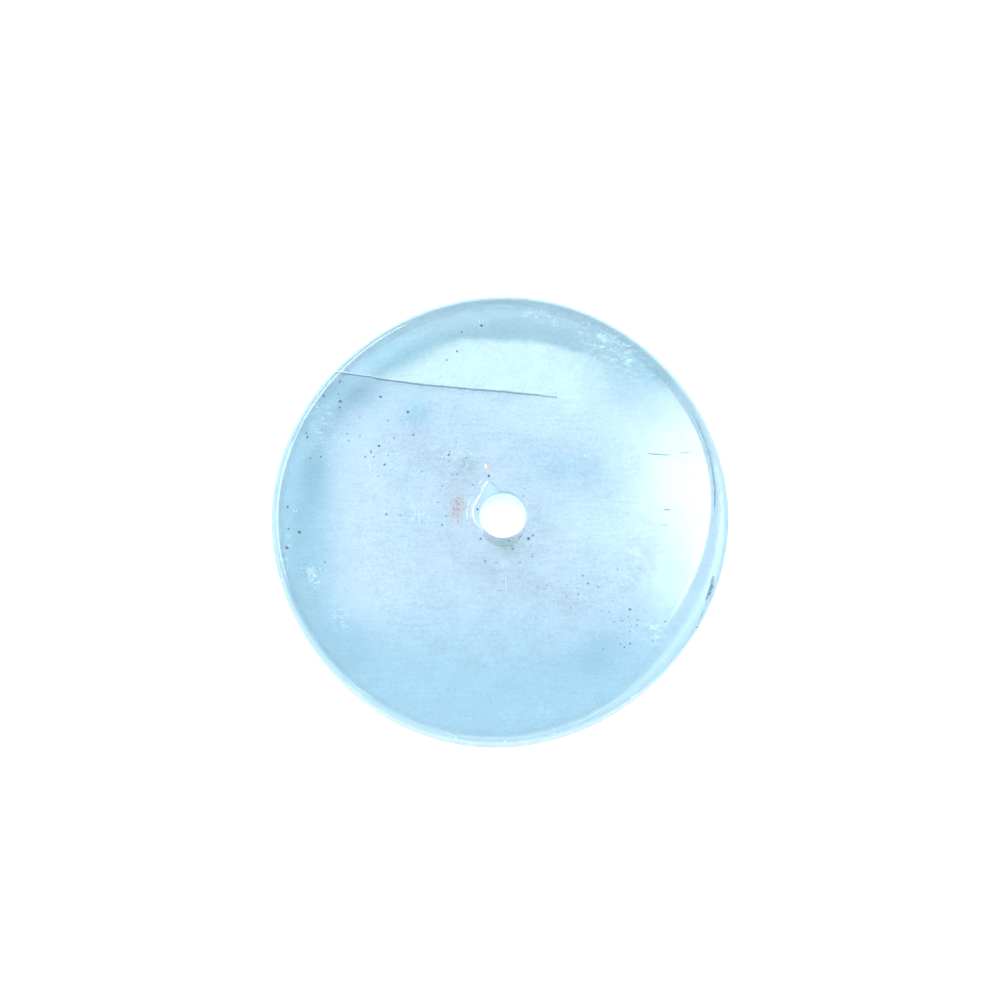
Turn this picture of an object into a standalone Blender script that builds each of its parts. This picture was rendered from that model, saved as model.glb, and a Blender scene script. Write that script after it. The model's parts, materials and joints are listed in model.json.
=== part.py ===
"""A drilled disc of pale blue beryl: one cut and polished stone, lying on its back face.

The disc is turned about +Z from half of its cross-section, then taken off true in
the three ways a hand-cut stone is: its outline is a little out of round, its bore
stands a little off centre, and the edge of its front face was rounded further in on
one side. The origin is on the disc's axis at the back face.
"""

import math

import bmesh
import bpy

# Driving dimensions, in metres.
DISC_DIAMETER = 0.0400
DISC_THICKNESS = 0.0054
BORE_DIAMETER = 0.0041
BORE_OFFSET = (0.00025, -0.00010)  # the bore's centre from the disc's axis
BORE_EDGE_BREAK = 0.00018  # rounding where the bore meets each face

# Each rounded edge is a quarter of an ellipse: how far it reaches in from the rim,
# and how far up or down the rim from its face.
FRONT_EDGE_WIDTH = 0.00075
FRONT_EDGE_DEPTH = 0.0007
BACK_EDGE_WIDTH = 0.0036
BACK_EDGE_DEPTH = 0.0027

# Where the front edge was rounded further in: how much further, the direction of the
# middle of that stretch, and how far to each side of it the extra width fades.
WIDE_EDGE_EXTRA = 0.00135
WIDE_EDGE_DIRECTION = math.radians(-28.0)
WIDE_EDGE_SPREAD = math.radians(30.0)

# The hand-ground outline: number of lobes, their height as a share of the radius,
# and the direction in degrees of one lobe's top. Even counts keep it centred.
OUTLINE_LOBES = ((2, 0.0079, 63.0), (4, 0.0046, -5.0))

TURN_STEPS = 120
BORE_EDGE_STEPS = 3
FRONT_EDGE_STEPS = 6
BACK_EDGE_STEPS = 11
SMOOTH_ANGLE = math.radians(30.0)
MERGE_DISTANCE = 1e-7

STONE_COLOUR = (0.52, 0.75, 0.93, 1.0)
STONE_ROUGHNESS = 0.05
STONE_IOR = 1.575  # beryl


def remove_everything():
    for old in list(bpy.data.objects):
        bpy.data.objects.remove(old, do_unlink=True)


def quarter_ellipse(centre, half_width, half_height, start, end, steps):
    """Points (radius, height) on an ellipse from one angle to another, in degrees."""
    points = []
    for i in range(steps + 1):
        angle = math.radians(start + (end - start) * i / steps)
        points.append((centre[0] + half_width * math.cos(angle),
                       centre[1] + half_height * math.sin(angle)))
    return points


def disc_section():
    """Half of the cross-section, once round: bore, front face, rim and back face."""
    rim = DISC_DIAMETER / 2
    bore = BORE_DIAMETER / 2
    top = DISC_THICKNESS
    edge = BORE_EDGE_BREAK
    front_of_bore = quarter_ellipse((bore + edge, top - edge), edge, edge,
                                    180, 90, BORE_EDGE_STEPS)
    front_of_rim = quarter_ellipse((rim - FRONT_EDGE_WIDTH, top - FRONT_EDGE_DEPTH),
                                   FRONT_EDGE_WIDTH, FRONT_EDGE_DEPTH, 90, 0, FRONT_EDGE_STEPS)
    back_of_rim = quarter_ellipse((rim - BACK_EDGE_WIDTH, BACK_EDGE_DEPTH),
                                  BACK_EDGE_WIDTH, BACK_EDGE_DEPTH, 0, -90, BACK_EDGE_STEPS)
    back_of_bore = quarter_ellipse((bore + edge, edge), edge, edge, 270, 180, BORE_EDGE_STEPS)
    return front_of_bore + front_of_rim + back_of_rim + back_of_bore


def outline_swell(angle):
    """How far the ground outline stands out at this angle, as a share of the radius."""
    return sum(height * math.cos(lobes * (angle - math.radians(direction)))
               for lobes, height, direction in OUTLINE_LOBES)


def front_edge_stretch(angle):
    """The front edge's width at this angle over its plain width."""
    turned = math.remainder(angle - WIDE_EDGE_DIRECTION, 2 * math.pi)
    extra = WIDE_EDGE_EXTRA * math.exp(-(turned / WIDE_EDGE_SPREAD) ** 2)
    return (FRONT_EDGE_WIDTH + extra) / FRONT_EDGE_WIDTH


def take_off_true(vertex):
    """Carry a vertex of the bore to the bore's centre, or one of the rim to its outline."""
    radius = math.hypot(vertex.co.x, vertex.co.y)
    angle = math.atan2(vertex.co.y, vertex.co.x)
    if radius < DISC_DIAMETER / 4:
        vertex.co.x += BORE_OFFSET[0]
        vertex.co.y += BORE_OFFSET[1]
        return
    rim = DISC_DIAMETER / 2
    if vertex.co.z > DISC_THICKNESS - FRONT_EDGE_DEPTH:
        radius = rim - (rim - radius) * front_edge_stretch(angle)
    radius *= 1.0 + outline_swell(angle)
    vertex.co.x = radius * math.cos(angle)
    vertex.co.y = radius * math.sin(angle)


def turned_disc():
    mesh = bmesh.new()
    section = [mesh.verts.new((radius, 0.0, height)) for radius, height in disc_section()]
    edges = [mesh.edges.new((section[i - 1], section[i])) for i in range(len(section))]
    bmesh.ops.spin(mesh, geom=section + edges, cent=(0, 0, 0), axis=(0, 0, 1),
                   angle=2 * math.pi, steps=TURN_STEPS, use_merge=True)
    bmesh.ops.remove_doubles(mesh, verts=mesh.verts, dist=MERGE_DISTANCE)
    for vertex in mesh.verts:
        take_off_true(vertex)
    bmesh.ops.recalc_face_normals(mesh, faces=mesh.faces)
    return mesh


def polished_stone():
    material = bpy.data.materials.new("polished_stone")
    material.use_nodes = True
    shader = material.node_tree.nodes["Principled BSDF"]
    shader.inputs["Base Color"].default_value = STONE_COLOUR
    shader.inputs["Roughness"].default_value = STONE_ROUGHNESS
    shader.inputs["Metallic"].default_value = 0.0
    shader.inputs["IOR"].default_value = STONE_IOR
    shader.inputs["Transmission Weight"].default_value = 0.85
    material.diffuse_color = STONE_COLOUR
    return material


def stone_disc():
    turned = turned_disc()
    data = bpy.data.meshes.new("stone_disc")
    turned.to_mesh(data)
    turned.free()
    data.shade_smooth()
    data.set_sharp_from_angle(angle=SMOOTH_ANGLE)
    data.materials.append(polished_stone())
    disc = bpy.data.objects.new("stone_disc", data)
    bpy.context.scene.collection.objects.link(disc)
    return disc


remove_everything()
stone_disc()
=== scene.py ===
# %% [markdown]
# # A drilled disc of pale blue beryl
#
# One natural stone, sawn from a crystal, ground round, drilled and polished. The frame that
# is loaded here holds its plain solid: its real size, its bore and its place on the table.
# This lesson builds the stone that is seen: the ground and polished surface, the colour
# zones that the crystal grew with, and what it caught inside while it grew.

# %% Load the frame
import json
import math
import random

import bmesh
import bpy
from mathutils import Matrix, Vector, noise

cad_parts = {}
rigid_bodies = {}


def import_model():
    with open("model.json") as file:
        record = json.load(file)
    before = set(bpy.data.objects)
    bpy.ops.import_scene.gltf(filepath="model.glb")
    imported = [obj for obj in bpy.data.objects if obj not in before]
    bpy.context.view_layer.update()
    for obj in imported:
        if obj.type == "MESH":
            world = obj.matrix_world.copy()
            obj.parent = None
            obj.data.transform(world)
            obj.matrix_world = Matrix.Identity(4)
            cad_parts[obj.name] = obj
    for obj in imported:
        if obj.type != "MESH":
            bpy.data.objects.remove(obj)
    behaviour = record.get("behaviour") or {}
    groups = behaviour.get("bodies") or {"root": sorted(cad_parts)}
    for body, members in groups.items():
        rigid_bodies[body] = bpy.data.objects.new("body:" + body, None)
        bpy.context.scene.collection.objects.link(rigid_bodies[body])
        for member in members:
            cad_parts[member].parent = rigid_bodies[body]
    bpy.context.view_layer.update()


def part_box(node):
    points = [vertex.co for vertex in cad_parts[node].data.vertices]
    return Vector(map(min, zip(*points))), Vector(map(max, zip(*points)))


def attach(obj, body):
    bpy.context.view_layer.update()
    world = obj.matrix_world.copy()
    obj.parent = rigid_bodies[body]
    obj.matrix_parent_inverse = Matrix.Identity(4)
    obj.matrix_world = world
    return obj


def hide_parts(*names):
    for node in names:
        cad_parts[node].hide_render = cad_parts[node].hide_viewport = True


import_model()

MM = 0.001
low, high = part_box("stone_disc")
THICKNESS = (high[2] - low[2]) / MM
print("stone blank:", [round((high[i] - low[i]) / MM, 2) for i in range(3)], "mm")

# %% [markdown]
# ## The shape of a hand-cut disc
#
# A lathe would give a perfect ring. A disc cut by hand is off true in three small ways: the
# outline swells a little where the wheel cut less, the drill wandered from the middle, and
# the edge of the front face was leaned on longer at one side. Each is one short formula of
# the direction round the disc, so the whole body can be built from them on a polar grid.

# %% Driving sizes, in millimetres and degrees
BORE_RADIUS = 2.05
BORE_X, BORE_Y = 0.25, -0.10
OUTLINE_LOBES = ((2, 0.0079, 63.0), (4, 0.0046, -5.0))
FRONT_EDGE = (0.75, 0.70)  # width and depth of its rounding
BACK_EDGE = (3.6, 2.7)
WIDE_EDGE = (1.35, -28.0, 30.0)  # extra width, its direction, and how far it spreads
CREASE = math.radians(76.0)  # its curve starts short of 90 degrees, with a slight crease


def swell(angle):
    """How far the outline stands out at this angle, as a share of the radius."""
    return sum(height * math.cos(lobes * (angle - math.radians(direction)))
               for lobes, height, direction in OUTLINE_LOBES)


def bump(angle, middle, spread):
    """1 in the middle direction, fading to 0 away from it; both are in degrees."""
    turned = math.remainder(angle - math.radians(middle), 2 * math.pi)
    return math.exp(-(turned / math.radians(spread)) ** 2)


POLISHED_OFF = 0.01  # a hair less than the blank all round
FACE = THICKNESS - 0.03  # the polished face; hard grains stand this little above it
RADIUS = (high[0] - low[0]) / MM / 2 / (1 + swell(0.0)) - POLISHED_OFF


def rim_radius(angle):
    return RADIUS * (1 + swell(angle))


def front_edge_width(angle):
    extra, middle, spread = WIDE_EDGE
    return FRONT_EDGE[0] + extra * bump(angle, middle, spread)


print("radius:", round(RADIUS, 2), "mm; widest front edge:",
      round(front_edge_width(math.radians(WIDE_EDGE[1])), 2), "mm")


# %% [markdown]
# ## The chip at the bore
#
# Drilling breaks a flake out where the drill comes through. Here the flake left a shallow
# teardrop on the upper left of the bore, ending in a point. It is part of the same body, so
# it is a second, wider ring around the bore whose reach follows the direction: zero along
# most of the bore, half a millimetre on the left and a full millimetre at the point.

# %% The chip's reach
BORE_EDGE = 0.14  # rounding where the bore meets each face
CHIP_LIP = 0.17  # widest part of the steep border of the chip
CHIP_DEPTH = 0.30  # how much deeper than that rounding the chip goes


def chip_reach(angle):
    """How far the broken flake reaches out from the bore's wall, in millimetres."""
    turned = math.degrees(angle) % 360
    rise = min(1.0, max(0.0, (turned - 96.0) / 16.0))
    fall = min(1.0, max(0.0, (228.0 - turned) / 50.0))
    body = 0.47 * (rise * rise * (3 - 2 * rise)) * (fall * fall * (3 - 2 * fall))
    return body + 0.62 * bump(angle, 113.0, 15.0) * rise


print("chip's reach at its point:", round(chip_reach(math.radians(113.0)), 2), "mm")


# %% [markdown]
# ## The stone's body
#
# Going once round the cross-section gives the rows of the grid: down the chip, across the
# front face, round the front edge, down the side, round the wide back edge, across the back
# and up the bore. The faces are nearly flat, but not quite: hand polishing leaves them a few
# thousandths of a millimetre wavy, which is what makes a reflection in them wander.

# %% Helpers for the rows
TURNS = 360
WAVE_HEIGHT, WAVE_LENGTH, WAVE_SEED = 0.005, 7.0, 1.7


def polar(radius, angle, height, x=0.0, y=0.0):
    return (x + radius * math.cos(angle), y + radius * math.sin(angle), height)


def by_bore(radius, angle, height):
    """A point at a distance from the bore's centre."""
    return polar(radius, angle, height, BORE_X, BORE_Y)


def eased(share):
    return share * share * (3 - 2 * share)


def between(start, end, share):
    return tuple(start[i] + (end[i] - start[i]) * share for i in range(3))


def wave(x, y):
    """Waviness of a polished face, between 0 and its full height."""
    value = noise.noise(Vector((x / WAVE_LENGTH, y / WAVE_LENGTH, WAVE_SEED)))
    return WAVE_HEIGHT * (0.5 + 0.5 * max(-1.0, min(1.0, 1.6 * value)))


print("waviness at one place:", round(wave(5.0, 5.0), 4), "mm")

# %% Rows of the chip and its lip
CHIP_ROWS, LIP_ROWS = 6, 3


def chip_depth(angle):
    return BORE_EDGE + CHIP_DEPTH * min(1.0, chip_reach(angle) / 0.45)


def chip_rows(angle):
    """The chip's floor and lip, or the plain rounding of the bore's edge without a chip."""
    chip, depth = chip_reach(angle), chip_depth(angle)
    ragged = 0.8 + 0.9 * noise.noise(Vector((5 * math.cos(angle), 5 * math.sin(angle), 4.0)))
    lip = min(CHIP_LIP, 0.35 * chip) * (0.5 + 0.5 * bump(angle, 190.0, 55.0)) * ragged
    floor_out = BORE_RADIUS + BORE_EDGE + chip - lip
    rounded = 1 - min(1.0, chip / 0.2)
    points = []
    for i in range(CHIP_ROWS + 1):
        share = i / CHIP_ROWS
        rise = 0.55 * eased(share) * (1 - rounded) + 0.96 * math.sin(1.57 * share) * rounded
        radius = BORE_RADIUS + (floor_out - BORE_RADIUS) * share
        points.append(by_bore(radius, angle, FACE - depth * (1 - rise)))
    floor_end, lip_out = points[-1], by_bore(floor_out + lip + 0.02, angle, FACE)
    for i in range(1, LIP_ROWS + 1):
        share = i / LIP_ROWS
        x, y, _ = between(floor_end, lip_out, share)
        points.append((x, y, floor_end[2] + (FACE - floor_end[2]) * share ** 0.7))
    return points


print("chip's depth at its point:", round(chip_depth(math.radians(113.0)), 2), "mm")

# %% Rows of the front face, the edges and the side
FACE_ROWS, FRONT_EDGE_ROWS, SIDE_ROWS, BACK_EDGE_ROWS = 30, 14, 7, 24


def outer_rows(angle, face_start):
    """From the inner border of the front face, over the rim, to the flat back."""
    rim, width = rim_radius(angle), front_edge_width(angle)
    edge_in = polar(rim - width, angle, FACE)
    points = []
    for i in range(1, FACE_ROWS + 1):
        share = i / FACE_ROWS
        x, y, _ = between(face_start, edge_in, share)
        fade = max(0.0, min(1.0, 4 * share, 6 * (1 - share)))
        points.append((x, y, FACE - wave(x, y) * fade))
    for i in range(1, FRONT_EDGE_ROWS + 1):
        turn = CREASE * (1 - i / FRONT_EDGE_ROWS)
        out = (math.cos(turn) - math.cos(CREASE)) / (1 - math.cos(CREASE))
        down = FRONT_EDGE[1] * (1 - math.sin(turn) / math.sin(CREASE))
        points.append(polar(rim - width + width * out, angle, FACE - down))
    side_top, side_low = FACE - FRONT_EDGE[1], BACK_EDGE[1]
    for i in range(1, SIDE_ROWS + 1):
        points.append(polar(rim, angle, side_top + (side_low - side_top) * i / SIDE_ROWS))
    for i in range(1, BACK_EDGE_ROWS + 1):
        turn = math.radians(-90.0 * i / BACK_EDGE_ROWS)
        points.append(polar(rim - BACK_EDGE[0] * (1 - math.cos(turn)), angle,
                            BACK_EDGE[1] * (1 + math.sin(turn))))
    return points


# %% Rows of the back face and the bore
BACK_ROWS, BORE_EDGE_ROWS, WALL_ROWS = 20, 4, 14
DRILL_RING = 0.015  # height of the rings that the drill leaves


def inner_rows(angle, face_start):
    """From the outer border of the back face up to the top of the drilled wall."""
    bore_low = by_bore(BORE_RADIUS + BORE_EDGE, angle, 0.0)
    points = [between(face_start, bore_low, i / BACK_ROWS) for i in range(1, BACK_ROWS + 1)]
    for i in range(1, BORE_EDGE_ROWS + 1):
        turn = math.radians(90.0 * i / BORE_EDGE_ROWS)
        points.append(by_bore(BORE_RADIUS + BORE_EDGE * (1 - math.sin(turn)), angle,
                              BORE_EDGE * (1 - math.cos(turn))))
    wall_low, wall_high = BORE_EDGE, FACE - chip_depth(angle)
    for i in range(1, WALL_ROWS):
        height = wall_low + (wall_high - wall_low) * i / WALL_ROWS
        where = Vector((3 * math.cos(angle), 3 * math.sin(angle), height * 5))
        ring = DRILL_RING * (noise.noise(where) - 1)
        points.append(by_bore(BORE_RADIUS + ring, angle, height))
    return points


def section(angle):
    """The points once round the cross-section at this angle, in millimetres."""
    points = chip_rows(angle)
    points += outer_rows(angle, points[-1])
    points += inner_rows(angle, points[-1])
    return points


print("points round one cross-section:", len(section(0.0)))

# %% Close the grid into one body
POLISH, DRILLED, BROKEN = 0, 1, 2  # the body's materials
BROKEN_FROM = 0.06  # the chip counts as broken from this reach
PALE_LIP_FROM = 0.315  # the lip is pale from this share of a full turn


def row_materials(step, count):
    """The material of each face in one slice of the body."""
    broken = chip_reach(2 * math.pi * (step - 0.5) / TURNS) > BROKEN_FROM
    chip = DRILLED if broken else POLISH
    pale = broken and step > PALE_LIP_FROM * TURNS
    lip = BROKEN if pale else chip
    polished = count - CHIP_ROWS - LIP_ROWS - WALL_ROWS
    return [chip] * CHIP_ROWS + [lip] * LIP_ROWS + [POLISH] * polished + [DRILLED] * WALL_ROWS


def stone_body():
    mesh = bmesh.new()
    rows = []
    for step in range(TURNS):
        angle = 2 * math.pi * step / TURNS
        rows.append([mesh.verts.new(Vector(point) * MM) for point in section(angle)])
    count = len(rows[0])
    for step in range(TURNS):
        here, after = rows[step - 1], rows[step]
        for i, material in enumerate(row_materials(step, count)):
            face = mesh.faces.new((here[i], after[i], after[(i + 1) % count],
                                   here[(i + 1) % count]))
            face.material_index = material
            face.smooth = True
    bmesh.ops.recalc_face_normals(mesh, faces=mesh.faces)
    return mesh


def piece_from(mesh, name, *materials):
    """Turn a finished bmesh into a named piece that rides on the stone."""
    data = bpy.data.meshes.new(name)
    mesh.to_mesh(data)
    mesh.free()
    for material in materials:
        data.materials.append(material)
    piece = bpy.data.objects.new(name, data)
    bpy.context.scene.collection.objects.link(piece)
    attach(piece, "root")
    return piece


# %% [markdown]
# ## Node helpers
#
# Every finish here is built from the same few steps: a place on the stone in millimetres, a
# soft round spot or a noise at that place, and a tint laid over the colour so far. Short
# helpers keep each finish readable.

# %% Materials and nodes
def new_material(name):
    material = bpy.data.materials.new(name)
    material.use_nodes = True
    return material, material.node_tree, material.node_tree.nodes["Principled BSDF"]


def add(tree, kind, links=None, **settings):
    """Add a node, set its properties, and link or fill its named inputs."""
    node = tree.nodes.new(kind)
    for key, value in settings.items():
        setattr(node, key, value)
    for key, value in (links or {}).items():
        if isinstance(value, bpy.types.NodeSocket):
            tree.links.new(value, node.inputs[key])
        else:
            node.inputs[key].default_value = value
    return node


# %% Places, spots and ramps
def place_in_mm(tree):
    """Where a point lies in the stone, in millimetres from the middle of its back."""
    where = add(tree, "ShaderNodeTexCoord")
    return add(tree, "ShaderNodeVectorMath", {0: where.outputs["Object"], 1: (1000, 1000, 1000)},
               operation="MULTIPLY").outputs[0]


def spot(tree, at, x, y, reach_x, reach_y, turn=0.0):
    """A soft spot on the plan of the stone: 1 at its middle, easing to 0 at its reach."""
    local = add(tree, "ShaderNodeMapping", {"Vector": at, "Location": (x, y, 0),
                "Rotation": (0, 0, math.radians(turn)), "Scale": (reach_x, reach_y, 1)},
                vector_type="TEXTURE").outputs[0]
    ball = add(tree, "ShaderNodeTexGradient", {"Vector": local}, gradient_type="SPHERICAL")
    return add(tree, "ShaderNodeMapRange", {"Value": ball.outputs["Fac"]},
               interpolation_type="SMOOTHSTEP").outputs[0]


def ramp(tree, value, start, end, low_value=0.0, high_value=1.0):
    return add(tree, "ShaderNodeMapRange", {"Value": value, "From Min": start, "From Max": end,
               "To Min": low_value, "To Max": high_value},
               interpolation_type="SMOOTHSTEP").outputs[0]


# %% Sums, tints and noise
def times(tree, a, b):
    return add(tree, "ShaderNodeMath", {0: a, 1: b}, operation="MULTIPLY").outputs[0]


def plus(tree, a, b):
    return add(tree, "ShaderNodeMath", {0: a, 1: b}, operation="ADD").outputs[0]


def tint(tree, under, share, colour):
    """Lay a colour over another by a share between 0 and 1."""
    mix = add(tree, "ShaderNodeMix", data_type="RGBA")
    for key, value in ((0, share), (6, under), (7, colour)):
        if isinstance(value, bpy.types.NodeSocket):
            tree.links.new(value, mix.inputs[key])
        else:
            mix.inputs[key].default_value = value
    return mix.outputs[2]


def grain(tree, at, scale, detail=4.0, stretch=(1, 1, 1), turn=0.0, roughness=0.5):
    local = add(tree, "ShaderNodeMapping", {"Vector": at, "Scale": stretch,
                "Rotation": (0, 0, math.radians(turn))}).outputs[0]
    return add(tree, "ShaderNodeTexNoise", {"Vector": local, "Scale": scale, "Detail": detail,
               "Roughness": roughness}).outputs["Fac"]


# %% [markdown]
# ## The colour zones
#
# A beryl crystal grows in layers, and each layer takes in a little more or less iron. The
# sawn disc cuts across them, so its blue drifts from a milky lavender middle to a deeper
# rim, with one clear window above a healed crack. The colours also hold painted light and
# shade: the deeper rim is painted shade, as are a band under the crack and a spot under the
# bore, and the window and a zone on the right are made lighter with painted light. The
# zones could be painted on the mesh, but a few soft spots and ramps in the material stay
# smooth at any zoom. All of them are placed in millimetres on the stone, so they stay put
# when the disc is turned over.

# %% Colours of the stone
MILKY_BLUE = (0.471, 0.570, 0.678, 1)
LAVENDER = (0.541, 0.622, 0.703, 1)
OPEN_BLUE = (0.283, 0.476, 0.590, 1)
DUSK = (0.373, 0.455, 0.560, 1)
# The rim blue, the shaded blue and the top grey are colours of painted shade.
PAINTED_RIM_SHADE = (0.200, 0.398, 0.501, 1)
SHADED_BLUE = (0.140, 0.291, 0.381, 1)
# Clear cyan is partly the clearer stone and partly painted light.
CLEAR_CYAN_AND_PAINTED_LIGHT = (0.572, 0.722, 0.731, 1)
PAINTED_TOP_SHADE = (0.233, 0.381, 0.462, 1)
RUST = (0.500, 0.435, 0.458, 1)
# Smoky grey, used also for painted shade just under the bore.
SMOKE_AND_PAINTED_SHADE = (0.299, 0.433, 0.455, 1)

# Soft clouds: x, y, reach along, reach across, turn, share, colour. Most are the stone's
# colour; some at the rim and under the bore are painted shade, some on the right painted light.
CLOUDS = (
    (-12.0, 1.0, 4.5, 7.5, 0, 0.60, LAVENDER),
    (-10.5, -6.0, 6.0, 5.0, 0, 0.50, LAVENDER),
    (-13.0, 6.0, 4.0, 3.0, 30, 0.35, LAVENDER),
    (-9.0, 9.8, 4.0, 2.2, -10, 0.40, LAVENDER),
    (-7.4, 9.2, 2.6, 2.6, -20, 1.00, OPEN_BLUE),
    (-6.6, 5.8, 4.6, 2.2, -40, 0.70, DUSK),
    (-3.6, 3.4, 3.0, 3.2, -30, 0.90, DUSK),
    (6.0, 4.2, 6.5, 2.8, -4, 0.75, OPEN_BLUE),
    (2.4, 8.6, 6.0, 2.2, -10, 0.35, CLEAR_CYAN_AND_PAINTED_LIGHT),
    # Painted reflection: the next four clear cyan clouds widen the overhead panel's bright zone on
    # the right.
    (11.0, 7.4, 5.4, 4.2, -20, 0.60, CLEAR_CYAN_AND_PAINTED_LIGHT),
    (13.0, 2.0, 5.0, 6.5, 0, 0.85, CLEAR_CYAN_AND_PAINTED_LIGHT),
    (8.6, -1.4, 6.0, 3.2, -20, 0.60, CLEAR_CYAN_AND_PAINTED_LIGHT),
    (14.2, -7.2, 3.4, 3.4, 0, 0.62, CLEAR_CYAN_AND_PAINTED_LIGHT),
    (-0.5, -5.4, 6.5, 2.2, -24, 0.85, DUSK),
    (5.0, -7.4, 6.0, 1.8, -28, 0.70, DUSK),
    # Painted shade along the rim, in the next four clouds.
    (8.2, -12.8, 4.5, 2.6, 20, 0.75, PAINTED_RIM_SHADE),
    (-13.0, -12.0, 5.0, 3.2, -40, 0.80, PAINTED_RIM_SHADE),
    (12.6, 13.4, 4.4, 2.0, -42, 0.95, PAINTED_RIM_SHADE),
    (14.0, 12.6, 2.2, 1.2, -50, 0.60, SHADED_BLUE),
    (10.4, 10.8, 2.6, 1.2, -38, 0.55, OPEN_BLUE),
    # Painted shade along the left and upper rim, in the next four clouds.
    (-13.6, 11.2, 5.0, 2.6, -10, 0.95, SHADED_BLUE),
    (-15.4, 9.0, 5.2, 2.4, 52, 0.80, SHADED_BLUE),
    (-16.4, 4.0, 2.4, 5.0, 10, 0.60, SHADED_BLUE),
    (-9.3, 14.4, 5.2, 2.2, 20, 0.95, PAINTED_RIM_SHADE),
    # Painted shade just under the bore.
    (0.7, -2.95, 2.3, 1.5, -10, 0.95, SMOKE_AND_PAINTED_SHADE),
    (-2.9, 4.4, 1.6, 1.2, 0, 0.90, SMOKE_AND_PAINTED_SHADE),
    (-3.65, 0.5, 1.1, 2.3, -10, 1.00, RUST),
)

print("colour clouds:", len(CLOUDS))

# %% [markdown]
# ## The clear window
#
# The clearest stone lies under an arc near the top, and ends at the trace of the healed
# crack. Its cyan is partly clearer stone and partly painted light, the light that the plane
# of the crack throws back. The arc is a piece of a circle; the crack's trace is a slanting
# line with a slight sag. Both are written once, because the crack is built along the same
# line later.

# %% Window and crack line
WINDOW_ARC = (-1.6, -14.4, 30.3)  # centre x, centre y and radius
CRACK_HEIGHT, CRACK_SLOPE = 11.09, -0.128
CRACK_SAG, SAG_START, SAG_TURN = 0.15, -14.0, 0.27


def above_crack(tree, split):
    """How far a point lies above the trace of the healed crack, in millimetres."""
    turn = times(tree, plus(tree, split.outputs[0], -SAG_START), SAG_TURN)
    sag = add(tree, "ShaderNodeMath", {0: turn}, operation="SINE").outputs[0]
    lift = plus(tree, times(tree, sag, CRACK_SAG), times(tree, split.outputs[0], -CRACK_SLOPE))
    return plus(tree, plus(tree, split.outputs[1], lift), -CRACK_HEIGHT)


def window(tree, at, split, above):
    """1 in the clear window, 0 in the milky stone below it and the rim above it."""
    x, y, reach = WINDOW_ARC
    away = add(tree, "ShaderNodeVectorMath", {0: at, 1: (x, y, 0)}, operation="DISTANCE")
    wander = ramp(tree, grain(tree, at, 0.4), 0.3, 0.7, -0.2, 0.2)
    under_arc = ramp(tree, plus(tree, away.outputs["Value"], wander), reach + 0.4, reach - 0.4)
    sharply = ramp(tree, above, -0.04, 0.08)
    softly = ramp(tree, above, -3.0, 0.8)
    right = ramp(tree, split.outputs[0], 1.0, 7.0)
    over = add(tree, "ShaderNodeMix", {0: right, 2: sharply, 3: softly}).outputs[0]
    slant = times(tree, plus(tree, split.outputs[1], -12.0), -1.67)
    left = ramp(tree, plus(tree, split.outputs[0], slant), -12.5, -8.5)
    before_veil = ramp(tree, split.outputs[0], 12.0, 5.0)
    return times(tree, times(tree, under_arc, over), times(tree, left, before_veil))


print("top of the window:", round(WINDOW_ARC[1] + WINDOW_ARC[2], 1), "mm above the middle")


# %% Colour at a place
def zone_colours(tree, deep, on_front):
    """The colour of the stone at a place in it."""
    split = add(tree, "ShaderNodeSeparateXYZ", {0: deep})
    at = add(tree, "ShaderNodeCombineXYZ", {0: split.outputs[0], 1: split.outputs[1]}).outputs[0]
    from_axis = add(tree, "ShaderNodeVectorMath", {0: at}, operation="LENGTH").outputs["Value"]

    drift = ramp(tree, grain(tree, deep, 0.22, detail=3), 0.3, 0.7)
    colour = tint(tree, MILKY_BLUE, times(tree, drift, 0.25), OPEN_BLUE)
    low_side = ramp(tree, split.outputs[1], -5.0, -15.5)
    colour = tint(tree, colour, low_side, OPEN_BLUE)
    # Painted shade of the rim: the blue deepens towards the outline, most at the left and the top.
    outer = ramp(tree, from_axis, 12.0, 18.5)
    colour = tint(tree, colour, times(tree, outer, 0.5), OPEN_BLUE)
    left_side = ramp(tree, split.outputs[0], -12.5, -17.5)
    colour = tint(tree, colour, times(tree, left_side, 0.9), PAINTED_RIM_SHADE)
    high_side = ramp(tree, split.outputs[1], 10.0, 15.5)
    colour = tint(tree, colour, high_side, PAINTED_TOP_SHADE)
    for x, y, along, across, turn, share, shade in CLOUDS:
        cloud = spot(tree, at, x, y, along, across, turn)
        colour = tint(tree, colour, times(tree, cloud, share), shade)
    above = above_crack(tree, split)
    # Painted shadow of the healed crack: a band of shaded blue just under its trace, on the front
    # face.
    under = times(tree, ramp(tree, above, -0.9, -0.05), ramp(tree, above, 0.0, -0.08))
    under = times(tree, under, ramp(tree, split.outputs[0], 7.0, -2.0, 0.0, 0.32))
    colour = tint(tree, colour, times(tree, under, on_front), SHADED_BLUE)
    # The window: clearer stone lightened with painted light, full on the front face and weaker
    # below it.
    clear = times(tree, window(tree, at, split, above), ramp(tree, on_front, 0.0, 1.0, 0.3, 1.0))
    colour = tint(tree, colour, clear, CLEAR_CYAN_AND_PAINTED_LIGHT)
    return colour


# %% Mottling
SOFT, FINE, DUSTY, THREADS = 0.05, 0.03, 0.09, 0.04  # shares of the brightness


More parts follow.
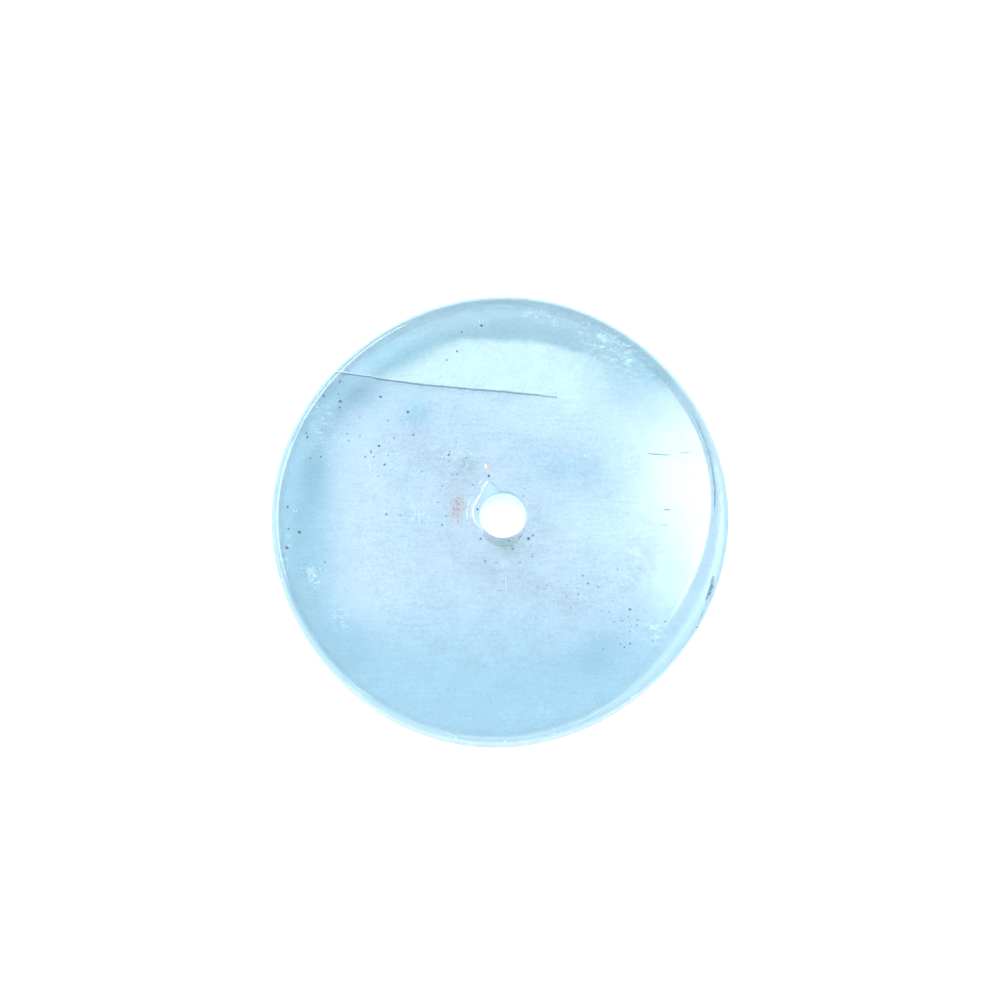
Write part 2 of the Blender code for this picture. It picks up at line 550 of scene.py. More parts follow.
def mottled(tree, deep, colour, share):
    """The fine cloudiness of the crystal, from a millimetre down to a tenth."""
    soft = ramp(tree, grain(tree, deep, 0.55, detail=3), 0.25, 0.75, -SOFT, SOFT)
    fine = ramp(tree, grain(tree, deep, 2.2, detail=2), 0.25, 0.75, -FINE, FINE)
    dusty = ramp(tree, grain(tree, deep, 7.0, detail=2), 0.3, 0.7, -DUSTY, DUSTY)
    threads = grain(tree, deep, 2.4, detail=2, stretch=(0.18, 1.6, 1), turn=6)
    threads = ramp(tree, threads, 0.3, 0.7, -THREADS, THREADS)
    all_of_it = plus(tree, plus(tree, soft, fine), plus(tree, dusty, threads))
    bright = plus(tree, times(tree, all_of_it, share), 1.0)
    return add(tree, "ShaderNodeVectorMath", {0: colour, "Scale": bright},
               operation="SCALE").outputs[0]


print("mottling: up to", round(100 * (SOFT + FINE + DUSTY + THREADS)), "percent of the brightness")

# %% [markdown]
# ## Lacy veils
#
# Where an old crack healed, it trapped a film of tiny fluid drops. From a little way off the
# film is white lace. Thousands of drops could be modelled, but a noise cut off at a level
# gives the same holes and knots, and soft spots say where a film lies. Only the largest
# drops are added later as real bodies.

# %% Lacy veils
# x, y, reach along, reach across, turn, share.
LACE = (
    (-16.4, -5.6, 1.1, 1.6, 0, 1.00), (-13.8, -9.3, 1.1, 2.0, 0, 0.80),
    (13.0, -10.4, 2.6, 1.8, -30, 0.85), (10.2, 15.0, 6.5, 2.2, -38, 0.90),
    (3.6, 17.9, 2.8, 0.8, -12, 1.00), (-18.6, -3.6, 0.6, 2.6, -8, 0.90),
    (12.6, -4.0, 3.2, 6.0, -20, 0.70), (-15.6, 7.4, 2.2, 4.0, 0, 0.45),
    (-7.3, 0.0, 1.0, 1.6, 0, 0.70), (-4.2, 5.2, 3.0, 2.2, -40, 0.50),
    (0.4, -5.2, 1.0, 1.8, 0, 0.60), (8.0, 12.6, 6.0, 1.4, -38, 0.55),
)
LACE_WHITE = (0.66, 0.84, 0.88, 1)


def laced(tree, deep, colour, on_front):
    """Lay the lacy white veils over the colour so far."""
    split = add(tree, "ShaderNodeSeparateXYZ", {0: deep})
    at = add(tree, "ShaderNodeCombineXYZ", {0: split.outputs[0], 1: split.outputs[1]}).outputs[0]
    total = 0.0
    for x, y, along, across, turn, share in LACE:
        patch = spot(tree, at, x, y, along, across, turn)
        total = plus(tree, total, times(tree, patch, share))
    knots = grain(tree, deep, 1.7, detail=5, stretch=(0.75, 1.25, 1), turn=36, roughness=0.72)
    holes = ramp(tree, knots, 0.49, 0.62)
    lace = times(tree, times(tree, holes, total), on_front)
    return tint(tree, colour, lace, LACE_WHITE)


print("lacy veils:", len(LACE))

# %% [markdown]
# ## The polish
#
# The stone is clear enough for the table to show through it, but milky: part of the light
# goes straight through, bending as it enters and leaves, and part is scattered near the
# face. Glass alone would look like water and paint alone like plastic, so one shader shares
# the light between the two. The body colour sits partly in the face and partly in the
# depth. The rim looks deeper than the middle because of painted shade in its colour. Only
# the faces and the thin front edge are polished. The side and the wide back edge keep the
# satin of the fine wheel.

# %% Satin of the ground side
BERYL_IOR = 1.575
SATIN_DEEP, SATIN_PALE = (0.68, 0.88, 0.96, 1), (0.86, 0.96, 1.0, 1)
SATIN_CLOUD = (0.70, 0.90, 0.97, 1)


def satin(tree, deep):
    """The ground side: fine wheel scratches that run round it, over faint clouds."""
    scratches = ramp(tree, grain(tree, deep, 3.0, stretch=(1, 1, 6)), 0.3, 0.7)
    colour = tint(tree, SATIN_DEEP, scratches, SATIN_PALE)
    cloudy = ramp(tree, grain(tree, deep, 0.35, detail=4), 0.35, 0.65, 0.0, 0.5)
    return tint(tree, colour, cloudy, SATIN_CLOUD)


# %% Polished stone
BACK_PALE = (0.74, 0.92, 0.98, 1)
EDGE_BLUE = (0.36, 0.58, 0.70, 1)
DEPTH_COLOUR, DEPTH_DENSITY = (0.45, 0.78, 0.97, 1), 16.0
CLEARNESS, EDGE_CLEARNESS = 0.76, 0.55


def polished_stone():
    material, tree, shader = new_material("polished_stone")
    deep = place_in_mm(tree)
    height = add(tree, "ShaderNodeSeparateXYZ", {0: deep}).outputs[2]
    flat = add(tree, "ShaderNodeVectorMath", {0: deep, 1: (1, 1, 0)},
               operation="MULTIPLY").outputs[0]
    from_axis = add(tree, "ShaderNodeVectorMath", {0: flat}, operation="LENGTH").outputs["Value"]

    # Where things are: the front face, all below it but the bore's edge, the thin rounded
    # edge, and the ground side and back edge.
    on_front = ramp(tree, height, FACE - 1.2, FACE - 0.1)
    outside = ramp(tree, from_axis, 8.0, 12.0)
    below = ramp(tree, height, FACE - 1.0, FACE - 2.0)
    off_bore = add(tree, "ShaderNodeMath", {0: outside, 1: below}, operation="MAXIMUM").outputs[0]
    off_face = times(tree, ramp(tree, height, FACE - 0.02, FACE - 0.22), off_bore)
    thin_edge = times(tree, off_face, ramp(tree, height, FACE - 1.1, FACE - 0.75))
    side = ramp(tree, height, FACE - 0.6, FACE - 1.0)
    ground = times(tree, ramp(tree, from_axis, 12.0, 19.0), side)

    colour = zone_colours(tree, deep, on_front)
    colour = laced(tree, deep, colour, on_front)
    colour = mottled(tree, deep, colour, on_front)
    colour = tint(tree, colour, times(tree, off_face, 0.85), BACK_PALE)
    colour = tint(tree, colour, times(tree, thin_edge, 0.75), EDGE_BLUE)
    colour = tint(tree, colour, ground, satin(tree, deep))
    tree.links.new(colour, shader.inputs["Base Color"])

    rough = ramp(tree, grain(tree, deep, 0.9, detail=5), 0.3, 0.8, 0.05, 0.10)
    rough = plus(tree, rough, times(tree, off_face, 0.18))
    rough = plus(tree, rough, times(tree, ground, 0.40))
    tree.links.new(rough, shader.inputs["Roughness"])
    shader.inputs["IOR"].default_value = BERYL_IOR
    clear = ramp(tree, thin_edge, 0.0, 1.0, CLEARNESS, EDGE_CLEARNESS)
    tree.links.new(clear, shader.inputs["Transmission Weight"])
    absorb = add(tree, "ShaderNodeVolumeAbsorption",
                 {"Color": DEPTH_COLOUR, "Density": DEPTH_DENSITY})
    tree.links.new(absorb.outputs[0], tree.nodes["Material Output"].inputs["Volume"])
    return material


polish = polished_stone()
print("polish:", len(polish.node_tree.nodes), "nodes")

# %% [markdown]
# ## The drilled wall and the fresh break
#
# The drill leaves a frosted wall with fine rings, and a flake that breaks out leaves a
# surface that is pale where it is steep. Both belong to the same closed body, so they are
# extra materials on its faces and not extra shells, which would show through clear stone.

# %% Drilled wall and broken lip
def drilled_wall():
    material, tree, shader = new_material("drilled_wall")
    at = place_in_mm(tree)
    height = add(tree, "ShaderNodeSeparateXYZ", {0: at}).outputs[2]
    rings = ramp(tree, grain(tree, at, 2.5, stretch=(1, 1, 3)), 0.3, 0.7, 0.0, 0.3)
    colour = tint(tree, (0.95, 1.0, 1.0, 1), rings, (0.80, 0.95, 1.0, 1))
    near_face = ramp(tree, height, FACE - 4.2, FACE - 0.6)
    colour = tint(tree, colour, near_face, (0.72, 0.87, 0.93, 1))
    in_chip = ramp(tree, height, FACE - 0.62, FACE - 0.42)
    colour = tint(tree, colour, in_chip, (0.34, 0.52, 0.66, 1))
    tree.links.new(colour, shader.inputs["Base Color"])
    # The wall glows faintly in its own colour: painted light in the bore.
    tree.links.new(colour, shader.inputs["Emission Color"])
    shader.inputs["Emission Strength"].default_value = 0.05
    shader.inputs["Roughness"].default_value = 0.6
    shader.inputs["IOR"].default_value = BERYL_IOR
    shader.inputs["Transmission Weight"].default_value = 0.1
    return material


def broken_lip():
    material, tree, shader = new_material("broken_lip")
    at = place_in_mm(tree)
    flakes = ramp(tree, grain(tree, at, 4.0), 0.3, 0.7, 0.0, 0.6)
    colour = tint(tree, (0.93, 0.95, 0.92, 1), flakes, (0.62, 0.78, 0.84, 1))
    tree.links.new(colour, shader.inputs["Base Color"])
    shader.inputs["Roughness"].default_value = 0.5
    shader.inputs["IOR"].default_value = BERYL_IOR
    return material


stone = piece_from(stone_body(), "polished_disc", polish, drilled_wall(), broken_lip())
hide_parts("stone_disc")
print("stone body:", len(stone.data.polygons), "faces")

# %% [markdown]
# ## Grains and flecks in the stone
#
# The crystal closed over specks of dark mineral and over tiny pockets of fluid that look
# white. A texture could fake them, but real grains sit at different depths, so they slide
# past each other when the disc is turned. Those that reach the face were polished flat with
# it and, being harder, stand a hair above it. Each grain is a small ball pulled out of
# round, and all grains of one kind are one piece.

# %% One grain
PROUD = 0.024  # how far the flat tops of the grains stand out of the polish
GRAIN_FACES = 80  # faces of one grain
CLEARANCE = 0.15  # scattered grains keep this far from the bore and the front edge


def surface_height(x, y):
    """Height of the polish over a place: the flat face, or the rounded front edge."""
    angle = math.atan2(y, x)
    rim, width = rim_radius(angle), front_edge_width(angle)
    out = min(1.0, max(0.0, (math.hypot(x, y) - rim + width) / width))
    turn = math.acos(out * (1 - math.cos(CREASE)) + math.cos(CREASE))
    return FACE - FRONT_EDGE[1] * (1 - math.sin(turn) / math.sin(CREASE))


def grain_body(mesh, x, y, depth, size, lot, stretch=(1, 1, 1), turn=0.0):
    """Add a small irregular closed grain to a mesh; all sizes are in millimetres."""
    centre = (x, y, surface_height(x, y) - depth)
    made = bmesh.ops.create_icosphere(mesh, subdivisions=2, radius=1.0)
    shift = Vector((lot.uniform(-9, 9), lot.uniform(-9, 9), lot.uniform(-9, 9)))
    spin = Matrix.Rotation(math.radians(turn), 3, "Z")
    for vert in made["verts"]:
        pull = 1.0 + 0.5 * noise.noise(vert.co * 1.3 + shift)
        shape = Vector(vert.co[i] * stretch[i] for i in range(3)) * (pull * size / 2)
        place = Vector(centre) + spin @ shape
        highest = surface_height(place.x, place.y) + PROUD - 0.002 * (1 - vert.co.z)
        place.z = min(place.z, highest)
        vert.co = place * MM


def plain_finish(name, colour_a, colour_b, roughness, clear=0.0):
    """A two-tone mottled finish for small grains."""
    material, tree, shader = new_material(name)
    at = place_in_mm(tree)
    mottle = ramp(tree, grain(tree, at, 5.0), 0.3, 0.7)
    tree.links.new(tint(tree, colour_a, mottle, colour_b), shader.inputs["Base Color"])
    shader.inputs["Roughness"].default_value = roughness
    shader.inputs["Transmission Weight"].default_value = clear
    return material


def swarm_places(lot, x, y, along, across, turn, count):
    """Random places scattered round a middle, closer together near it."""
    spin = Matrix.Rotation(math.radians(turn), 2)
    for _ in range(count):
        offset = spin @ Vector((lot.gauss(0, along), lot.gauss(0, across)))
        yield x + offset.x, y + offset.y


def on_the_face(x, y):
    """Whether a grain here would lie on the flat face, clear of the bore, chip and rim."""
    angle = math.atan2(y - BORE_Y, x - BORE_X)
    bore = math.hypot(x - BORE_X, y - BORE_Y) - BORE_RADIUS - BORE_EDGE - chip_reach(angle)
    around = math.atan2(y, x)
    rim = rim_radius(around) - front_edge_width(around) - math.hypot(x, y)
    return bore > CLEARANCE and rim > CLEARANCE


print("polish at the middle of the front edge:", round(surface_height(19.6, 0.0), 2), "mm high")


# %% Dark mineral grains
# The grains that stand out: x, y and size.
BOLD_GRAINS = (
    (-14.05, 10.2, 0.30), (-15.5, 10.7, 0.24), (-14.1, 12.0, 0.20), (-14.1, 9.6, 0.18),
    (-10.5, 10.6, 0.20), (-8.1, 9.2, 0.24), (-7.6, 7.1, 0.20), (-10.6, 6.1, 0.22),
    (-11.3, 5.6, 0.15), (-11.8, 5.1, 0.15), (-10.1, 4.4, 0.20), (-16.9, 6.9, 0.20),
    (-16.6, 5.0, 0.16), (-15.7, 5.1, 0.18), (-17.45, -1.7, 0.30), (-18.5, -3.1, 0.28),
    (-18.5, 0.55, 0.22), (-18.4, -1.4, 0.18), (-9.9, -0.1, 0.18), (-8.7, -0.2, 0.14),
    (-15.2, -4.4, 0.15), (-4.5, 5.3, 0.22), (-1.95, 0.35, 0.18), (-0.97, 3.35, 0.24),
    (2.47, -2.3, 0.28), (2.85, -2.0, 0.18), (1.76, -2.1, 0.16), (0.75, -2.45, 0.18),
    (-1.7, -2.3, 0.18), (-5.05, -1.05, 0.18), (-1.3, -4.3, 0.18), (1.1, -3.2, 0.17),
    (7.2, -5.6, 0.15), (7.6, -6.3, 0.18), (8.5, -6.6, 0.15), (10.2, -5.0, 0.14),
    (11.2, -8.6, 0.22), (11.2, -11.6, 0.16), (17.0, -10.0, 0.18), (-1.65, 17.2, 0.26),
    (-3.4, 16.6, 0.15), (-3.8, 14.8, 0.18), (-4.7, 14.0, 0.15),
)
# Swarms of finer grains: x, y, spread along, spread across, turn, how many.
GRAIN_SWARMS = (
    (-12.8, 7.6, 3.6, 1.8, -38, 26), (9.8, -9.3, 2.6, 0.9, -30, 26),
    (-4.2, 4.6, 2.4, 1.2, -35, 16), (-3.4, 1.4, 1.1, 1.6, 0, 12),
    (1.6, -2.5, 1.8, 0.6, -5, 8), (4.0, -7.0, 3.5, 1.2, -30, 16),
)

lot = random.Random(11)
mesh = bmesh.new()
for x, y, size in BOLD_GRAINS:
    grain_body(mesh, x, y, 0.02, size, lot)
for swarm in GRAIN_SWARMS:
    for x, y in swarm_places(lot, *swarm):
        if on_the_face(x, y):
            depth = abs(lot.gauss(0, 0.5))
            grain_body(mesh, x, y, depth, lot.uniform(0.07, 0.15), lot)
dark_grains = piece_from(mesh, "dark_grains", plain_finish(
    "dark_mineral", (0.02, 0.05, 0.07, 1), (0.10, 0.16, 0.20, 1), 0.5))
print("dark grains:", len(dark_grains.data.polygons) // GRAIN_FACES)

# %% [markdown]
# ## White flecks
#
# A fluid pocket that reaches the face is cut open by the polishing and looks like a white
# fleck. They come in little swarms, with most of a swarm near its middle, so each swarm is
# a middle, a spread and a count. Flat, stretched grains turned every way look like lace.

# %% White flecks
# x, y, spread along, spread across, turn, how many, largest size.
FLECK_SWARMS = (
    (-16.4, -5.4, 0.40, 0.42, 0, 16, 0.30), (-16.0, -6.3, 0.22, 0.40, 0, 8, 0.28),
    (-13.8, -9.3, 0.35, 0.8, 0, 10, 0.22), (3.1, 18.3, 0.7, 0.25, -10, 12, 0.30),
    (4.9, 17.9, 0.6, 0.25, -15, 8, 0.28), (-1.3, 18.2, 0.9, 0.25, 10, 9, 0.24),
    (13.2, -10.4, 0.9, 0.7, -30, 9, 0.24), (-19.0, -3.6, 0.15, 1.0, -8, 12, 0.24),
    (-16.3, 9.5, 0.3, 0.3, -60, 5, 0.34), (-17.9, 0.2, 0.25, 0.08, 0, 4, 0.28),
    (0.5, -4.8, 0.10, 0.16, 0, 5, 0.34), (0.5, -6.0, 0.12, 0.6, 0, 6, 0.22),
    (-1.9, 5.9, 0.25, 0.45, -60, 6, 0.24), (-5.2, 4.9, 0.3, 0.4, -60, 5, 0.20),
    (-2.0, 17.3, 0.25, 0.2, 0, 4, 0.24), (-15.5, 7.0, 1.4, 2.6, 0, 14, 0.18),
    (-7.3, 0.0, 0.35, 0.7, 0, 8, 0.20), (11.0, 6.0, 3.5, 5.0, 0, 16, 0.18),
    (0.0, -4.0, 4.0, 2.0, -30, 16, 0.14),
)
mesh = bmesh.new()
for x, y, along, across, turn, count, size in FLECK_SWARMS:
    for px, py in swarm_places(lot, x, y, along, across, turn, count):
        if on_the_face(px, py):
            grain_body(mesh, px, py, lot.uniform(0.0, 0.02), lot.uniform(0.25, 0.8) * size, lot,
                       stretch=(1, 0.55, 0.5), turn=lot.uniform(0, 180))
white_flecks = piece_from(mesh, "white_flecks", plain_finish(
    "fluid_pocket", (0.58, 0.78, 0.86, 1), (0.36, 0.58, 0.70, 1), 0.5, 0.3))
print("white flecks:", len(white_flecks.data.polygons) // GRAIN_FACES)

# %% [markdown]
# ## The slanting veil
#
# One healed crack leaves the stone near the upper right rim at a slant, and its drops all
# stretch the same way. It is a swarm like the others, but long, narrow and combed: each
# grain is turned to nearly the same direction.

# %% The slanting veil
# x, y, spread along, spread across, turn, how many.
VEIL = (10.2, 14.9, 3.2, 1.0, -38, 120)
mesh = bmesh.new()
for x, y in swarm_places(lot, *VEIL):
    if on_the_face(x, y):
        grain_body(mesh, x, y, lot.uniform(0.0, 0.03), lot.uniform(0.08, 0.28), lot,
                   stretch=(1, 0.32, 0.3), turn=lot.gauss(-35, 18))
slanting_veil = piece_from(mesh, "slanting_veil", plain_finish(
    "veil", (0.46, 0.66, 0.76, 1), (0.30, 0.50, 0.63, 1), 0.4, 0.3))
print("veil grains:", len(slanting_veil.data.polygons) // GRAIN_FACES)

# %% [markdown]
# ## Cracks, needles and scratches
#
# Each of these is long and thin, so each is a narrow closed strip let into the face. Its
# lower edge may lean aside, as the plane of the healed crack dips away under the milky
# side. The bright and the dark side of that crack's trace are a painted highlight and a
# painted shadow, each a strip of its own.

# %% One strip
RIM_MARGIN = 0.16  # strips stop this far inside the outline


def within_rim(x, y):
    return math.hypot(x, y) < rim_radius(math.atan2(y, x)) - RIM_MARGIN


def strip(mesh, path, width, depth, lean=(0.0, 0.0)):
    """A thin closed strip let into the face along points (x, y, share of the width)."""
    rings = []
    path = [point for point in path if within_rim(point[0], point[1])]
    for i, (x, y, share) in enumerate(path):
        before, after = path[max(0, i - 1)], path[min(len(path) - 1, i + 1)]
        across = Vector((before[1] - after[1], after[0] - before[0])).normalized()
        half = max(0.008, width * share / 2)
        left, right = Vector((x, y)) + across * half, Vector((x, y)) - across * half
        down = Vector(lean) * depth
        bottom = surface_height(x, y) - depth
        ring = ((left.x, left.y, surface_height(left.x, left.y) + PROUD),
                (right.x, right.y, surface_height(right.x, right.y) + PROUD),
                (right.x + down.x, right.y + down.y, bottom),
                (left.x + down.x, left.y + down.y, bottom))
        rings.append([mesh.verts.new(Vector(point) * MM) for point in ring])
    made = []
    for before, after in zip(rings, rings[1:]):
        for i in range(4):
            made.append(mesh.faces.new((before[i], before[(i + 1) % 4], after[(i + 1) % 4],
                                        after[i])))
    made.append(mesh.faces.new(reversed(rings[0])))
    made.append(mesh.faces.new(rings[-1]))
    bmesh.ops.recalc_face_normals(mesh, faces=made)


print("strips stop", RIM_MARGIN, "mm inside the outline")


# %% The line of a strip
def taper(share, power=0.6):
    """The share of its width that a strip has here: all in the middle, little at the ends."""
    return math.sin(math.pi * (0.03 + 0.94 * share)) ** power


def line(points, steps, wander, seed):
    """Points along a polyline, wandering a little, thick in the middle and thin at its ends."""
    path = []
    for i in range(steps + 1):
        share = i / steps * (len(points) - 1)
        leg = min(len(points) - 2, int(share))
        x = points[leg][0] + (points[leg + 1][0] - points[leg][0]) * (share - leg)
        y = points[leg][1] + (points[leg + 1][1] - points[leg][1]) * (share - leg)
        off = wander * noise.noise(Vector((x * 1.5, y * 1.5, seed)))
        path.append((x + off, y + off, taper(i / steps)))
    return path


print("width at a strip's ends:", round(taper(0.0), 2), "of its full width")

# %% [markdown]
# ## The healed crack
#
# One long crack starts at the upper left rim and dies out past the middle. It healed while
# the crystal still grew, so it can be seen but not felt. It could be one line, but its
# plane is tilted: light catches its upper side, and a thin shadow lies under it. So it is
# two strips: a pale one that is widest at the rim, a painted highlight, and a dusky one
# just below it, a painted shadow.

# %% The healed crack
def crack_height(x):
    return CRACK_HEIGHT + CRACK_SLOPE * x - CRACK_SAG * math.sin(SAG_TURN * (x - SAG_START))


CRACK_START, CRACK_END, CRACK_STEPS = -15.1, 5.0, 120
SHADED_PART = slice(24, 112)  # the steps of the crack that have a dusky side
mesh = bmesh.new()
path = []
for i in range(CRACK_STEPS + 1):
    x = CRACK_START + (CRACK_END - CRACK_START) * i / CRACK_STEPS
    wedge = 1.0 + 1.6 * math.exp(-((x - CRACK_START) / 1.3) ** 2)
    fade = min(1.0, max(0.0, -3.0 - x) / 9.0) * (0.75 + 0.6 * noise.noise(Vector((x, 5, 0))))
    wander = 0.06 * noise.noise(Vector((x * 1.1, 0, 3)))
    path.append((x, crack_height(x) + 0.04 + wander, wedge * fade))
# The pale strip is a painted highlight on the crack's upper side.
strip(mesh, path, 0.04, 0.35, (0.1, -0.3))
crack_highlight_strip = piece_from(mesh, "crack_highlight_strip", plain_finish(
    "painted_crack_highlight", (0.62, 0.80, 0.88, 1), (0.44, 0.64, 0.74, 1), 0.4))
# The dusky strip just under it is a painted shadow.
mesh = bmesh.new()
part = path[SHADED_PART]
shade = [(x, y - 0.06, taper(i / (len(part) - 1), 0.5)) for i, (x, y, _) in enumerate(part)]
strip(mesh, shade, 0.045, 0.25, (0.1, -0.4))
crack_shadow = piece_from(mesh, "crack_shadow", plain_finish(
    "crack_shade", (0.27, 0.39, 0.50, 1), (0.44, 0.57, 0.66, 1), 0.5))
print("crack:", len(crack_highlight_strip.data.polygons), "and", len(crack_shadow.data.polygons), "faces")

# %% [markdown]
# ## Hollow needles
#
# Beryl often holds hollow tubes that run along the crystal's length. The disc was sawn so
# that a few of them lie in the face, all pointing nearly the same way. Each is a short thin
# strip that wanders a little and fades at both ends.

# %% Hollow needles
# From x, y to x, y, and width.
NEEDLES = ((-11.4, 4.7, -11.4, 3.7, 0.11), (-11.65, 1.8, -12.0, -1.2, 0.06),
           (-7.6, 0.9, -7.35, -0.3, 0.09), (-7.15, 0.4, -6.95, -1.1, 0.08),
           (0.5, -5.1, 0.48, -6.9, 0.07), (-8.1, 8.3, -8.3, 7.2, 0.05))
mesh = bmesh.new()
for x0, y0, x1, y1, width in NEEDLES:
    strip(mesh, line(((x0, y0), (x1, y1)), 16, 0.04, x0), width, 0.15)
hollow_needles = piece_from(mesh, "hollow_needles", plain_finish(
    "hollow_tube", (0.52, 0.70, 0.82, 1), (0.40, 0.60, 0.72, 1), 0.4, 0.3))
print("needles:", len(NEEDLES))

# %% [markdown]
# ## Fine cracks near the rim
#
# The wheel starts short cracks at the edge. They are dark, because nothing behind them is
# lit. A dark line of painted shade runs in the crease between the flat face and the wide
# rounded edge. The crease follows the rim, so its line is computed from the rim's own
# formula.

# %% Fine cracks
# The points of each crack, and its width.
FINE_CRACKS = (
    (((18.45, -5.6), (18.3, -6.6), (17.85, -7.7)), 0.30), (((12.9, 5.40), (14.95, 5.25)), 0.09),
    (((15.7, 5.5), (16.6, 5.45)), 0.05), (((14.2, 0.3), (14.9, 0.33)), 0.08),
    (((14.0, -1.05), (14.7, -1.08)), 0.05), (((17.5, -8.6), (17.3, -9.4)), 0.10),
)
# The painted shade in the crease at the wide edge: from and to in degrees, and width.
RIM_CREASE_SHADES = ((29, 12, 0.07), (13, 0.5, 0.13))
CREASE_STEPS = 40

mesh = bmesh.new()
for points, width in FINE_CRACKS:
    strip(mesh, line(points, 18, 0.05, points[0][0]), width, 0.10)
# Dark lines of painted shade in the crease at the wide edge.
for first, last, width in RIM_CREASE_SHADES:
    crease_shade_line = []
    for i in range(CREASE_STEPS + 1):
        angle = math.radians(first + (last - first) * i / CREASE_STEPS)
        reach = rim_radius(angle) - front_edge_width(angle) - 0.02
        x, y, _ = polar(reach, angle, FACE)
        crease_shade_line.append((x, y, taper(i / CREASE_STEPS)))
    strip(mesh, crease_shade_line, width, 0.10)
fine_cracks_and_crease_shade = piece_from(mesh, "fine_cracks_and_crease_shade", plain_finish(
    "crack_shade_fine", (0.05, 0.13, 0.19, 1), (0.22, 0.38, 0.47, 1), 0.5))
print("fine cracks:", len(FINE_CRACKS) + len(RIM_CREASE_SHADES))

# %% [markdown]
# ## Rust and cream grains
#
# Iron in the stone rusted in one upright patch left of the bore, and one cream-coloured
# mineral grain sits above the bore. The patch is a soft stain in the stone's colour with a
# few real grains in it, so that it has depth without a hard outline.

# %% Rust and cream grains
RUST_SWARM = (-3.7, 0.3, 0.24, 0.75, -8, 26)
CREAM_X, CREAM_Y, CREAM_SIZE = -1.25, 4.20, 0.46
mesh = bmesh.new()
for x, y in swarm_places(lot, *RUST_SWARM):
    if on_the_face(x, y):
        grain_body(mesh, x, y, lot.uniform(0.05, 0.3), lot.uniform(0.07, 0.17), lot)
rust_grains = piece_from(mesh, "rust_grains", plain_finish(
    "iron_rust", (0.30, 0.20, 0.17, 1), (0.44, 0.35, 0.32, 1), 0.6))
mesh = bmesh.new()
grain_body(mesh, CREAM_X, CREAM_Y, 0.02, CREAM_SIZE, lot, stretch=(0.75, 1, 0.6))
cream_grain = piece_from(mesh, "cream_grain", plain_finish(
    "cream_mineral", (0.60, 0.40, 0.25, 1), (0.72, 0.60, 0.46, 1), 0.5))
print("rust grains:", len(rust_grains.data.polygons) // GRAIN_FACES)

# %% [markdown]
# ## The table
#
# The disc lies on a white sheet, and the bore shows that sheet. A clear stone takes most of
# its light from what it lies on, so the sheet near the stone glows a little, as a light
# table does. The glow fades away from the stone, or it would blind a low view.

# %% Table
TABLE_SIDE = 6.0
TABLE_GAP = 0.00002  # keeps the sheet clear of the stone's back face


def white_table():
    material, tree, shader = new_material("white_table")
    at = place_in_mm(tree)
    colour = tint(tree, (0.93, 0.93, 0.93, 1), grain(tree, at, 0.02), (0.96, 0.96, 0.96, 1))
    tree.links.new(colour, shader.inputs["Base Color"])
    shader.inputs["Roughness"].default_value = 0.8
    away = add(tree, "ShaderNodeVectorMath", {0: at}, operation="LENGTH").outputs["Value"]
    glow = ramp(tree, away, 45.0, 110.0, 1.0, 0.0)
    tree.links.new(tint(tree, (0, 0, 0, 1), glow, (1, 1, 1, 1)), shader.inputs["Emission Color"])
    shader.inputs["Emission Strength"].default_value = 0.45
    return material


mesh = bmesh.new()
bmesh.ops.create_grid(mesh, x_segments=4, y_segments=4, size=TABLE_SIDE / 2)
data = bpy.data.meshes.new("table")
mesh.to_mesh(data)
mesh.free()
data.materials.append(white_table())
table = bpy.data.objects.new("table", data)
table.location.z = low[2] - TABLE_GAP
bpy.context.scene.collection.objects.link(table)
print("table:", tuple(round(side, 2) for side in table.dimensions), "m")

# %% [markdown]
# ## Light
#
# A soft room light comes from everywhere, brightest overhead. One panel overhead is
# mirrored in the flat face and makes the bright zone on its right. It hangs askew and its
# cloth darkens towards its edges, so the zone's border slants and is soft. Clear cyan clouds
# in the stone's colour widen that zone with painted light. Three panels round the sides are
# too low to be mirrored in the face and only draw the rounded edge.

# %% Light
world = bpy.data.worlds.new("soft_room")
world.use_nodes = True
sky = world.node_tree
look = add(sky, "ShaderNodeTexCoord").outputs["Generated"]
up = add(sky, "ShaderNodeSeparateXYZ", {0: look}).outputs[2]
cloth = ramp(sky, up, 0.0, 0.75, 0.0, 1.0)
sky.links.new(tint(sky, (0.86, 0.87, 0.88, 1), cloth, (1.3, 1.3, 1.3, 1)),
              sky.nodes["Background"].inputs["Color"])
bpy.context.scene.world = world
bpy.context.scene.view_settings.view_transform = "Standard"


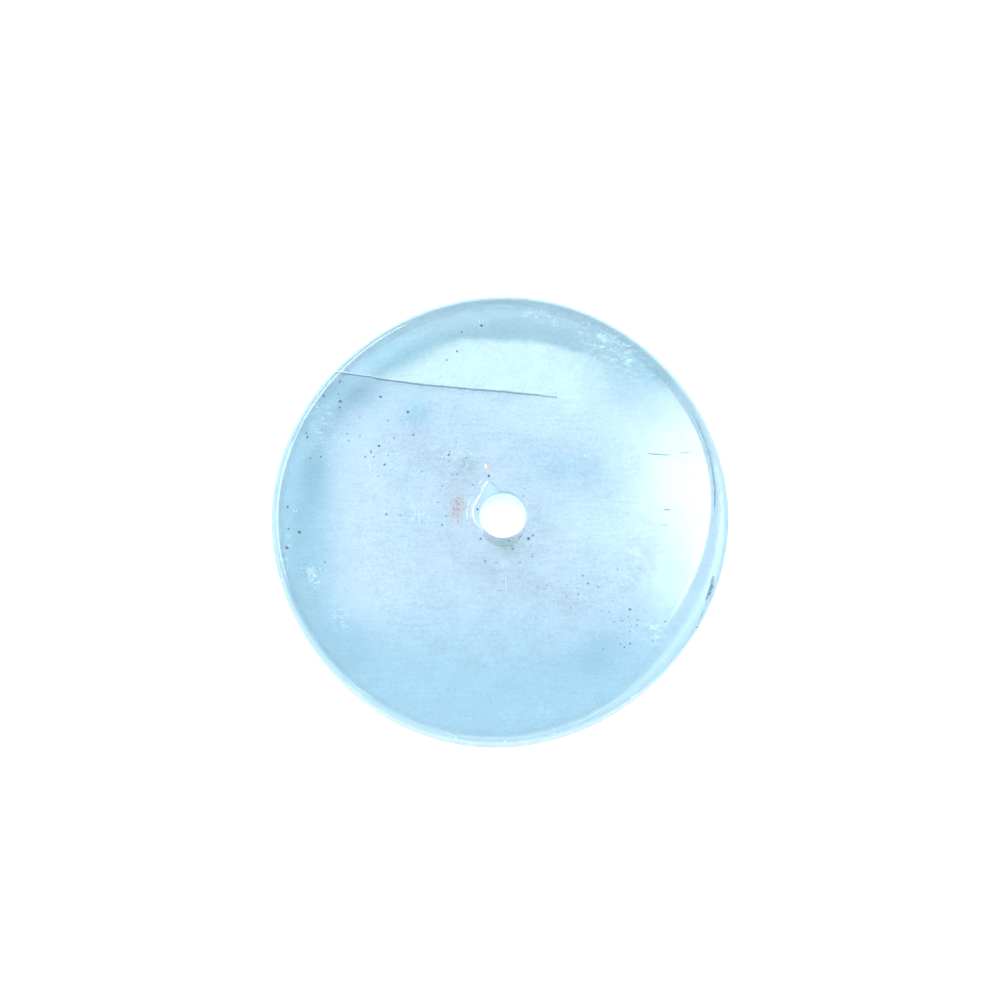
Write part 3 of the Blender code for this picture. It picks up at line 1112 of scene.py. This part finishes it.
def softbox(name, middle, size, radiance, turn=0.0, aim=(0, 0, 0.005)):
    """A soft light panel, given by the brightness of its cloth."""
    lamp = bpy.data.lights.new(name, "AREA")
    lamp.shape = "RECTANGLE"
    lamp.size, lamp.size_y = size
    lamp.energy = radiance * math.pi * size[0] * size[1]
    holder = bpy.data.objects.new(name, lamp)
    holder.location = middle
    facing = (Vector(aim) - Vector(middle)).to_track_quat("-Z", "Y").to_matrix()
    holder.rotation_euler = (facing @ Matrix.Rotation(math.radians(turn), 3, "Z")).to_euler()
    bpy.context.scene.collection.objects.link(holder)
    return lamp


def soft_edges(lamp, share):
    """Fade a panel's cloth towards its edges, over this share of its width and height."""
    lamp.use_nodes = True
    tree = lamp.node_tree
    cloth = add(tree, "ShaderNodeSeparateXYZ",
                {0: add(tree, "ShaderNodeNewGeometry").outputs["Parametric"]})
    bright = 1.0
    for i in range(2):
        rise = ramp(tree, cloth.outputs[i], 0.0, share)
        fall = ramp(tree, cloth.outputs[i], 1.0, 1.0 - share)
        bright = times(tree, bright, times(tree, rise, fall))
    tree.links.new(bright, tree.nodes["Emission"].inputs["Strength"])


overhead = softbox("overhead_softbox", (0.063, 0.130, 0.505), (0.050, 0.092), 11.0, 36.0)
soft_edges(overhead, 0.35)
softbox("left_softbox", (-0.288, 0.122, 0.324), (0.18, 0.18), 7.0)
softbox("right_softbox", (0.31, 0.08, 0.33), (0.20, 0.20), 3.0)
softbox("back_softbox", (-0.175, 0.259, 0.324), (0.18, 0.18), 7.0)
print("lights:", len(bpy.data.lights))

# %% [markdown]
# ## Camera
#
# The view is from the front and steeply down, so that the disc is almost a full circle but
# a little of the bore's wall and of the edge can be seen. A long lens keeps it flat.

# %% Camera
ELEVATION = 75.0
LENS, SENSOR = 100.0, 36.0
DISTANCE = 0.245
target = Vector((0, 0.0019, THICKNESS / 2 * MM))
lens = bpy.data.cameras.new("view")
lens.lens, lens.sensor_width, lens.clip_start = LENS, SENSOR, 0.01
camera = bpy.data.objects.new("view", lens)
tilt = math.radians(90 - ELEVATION)
camera.location = target + Vector((0, -math.sin(tilt), math.cos(tilt))) * DISTANCE
camera.rotation_euler = (tilt, 0, 0)
bpy.context.scene.collection.objects.link(camera)
bpy.context.scene.camera = camera
print("camera height:", round(camera.location.z * 1000), "mm")
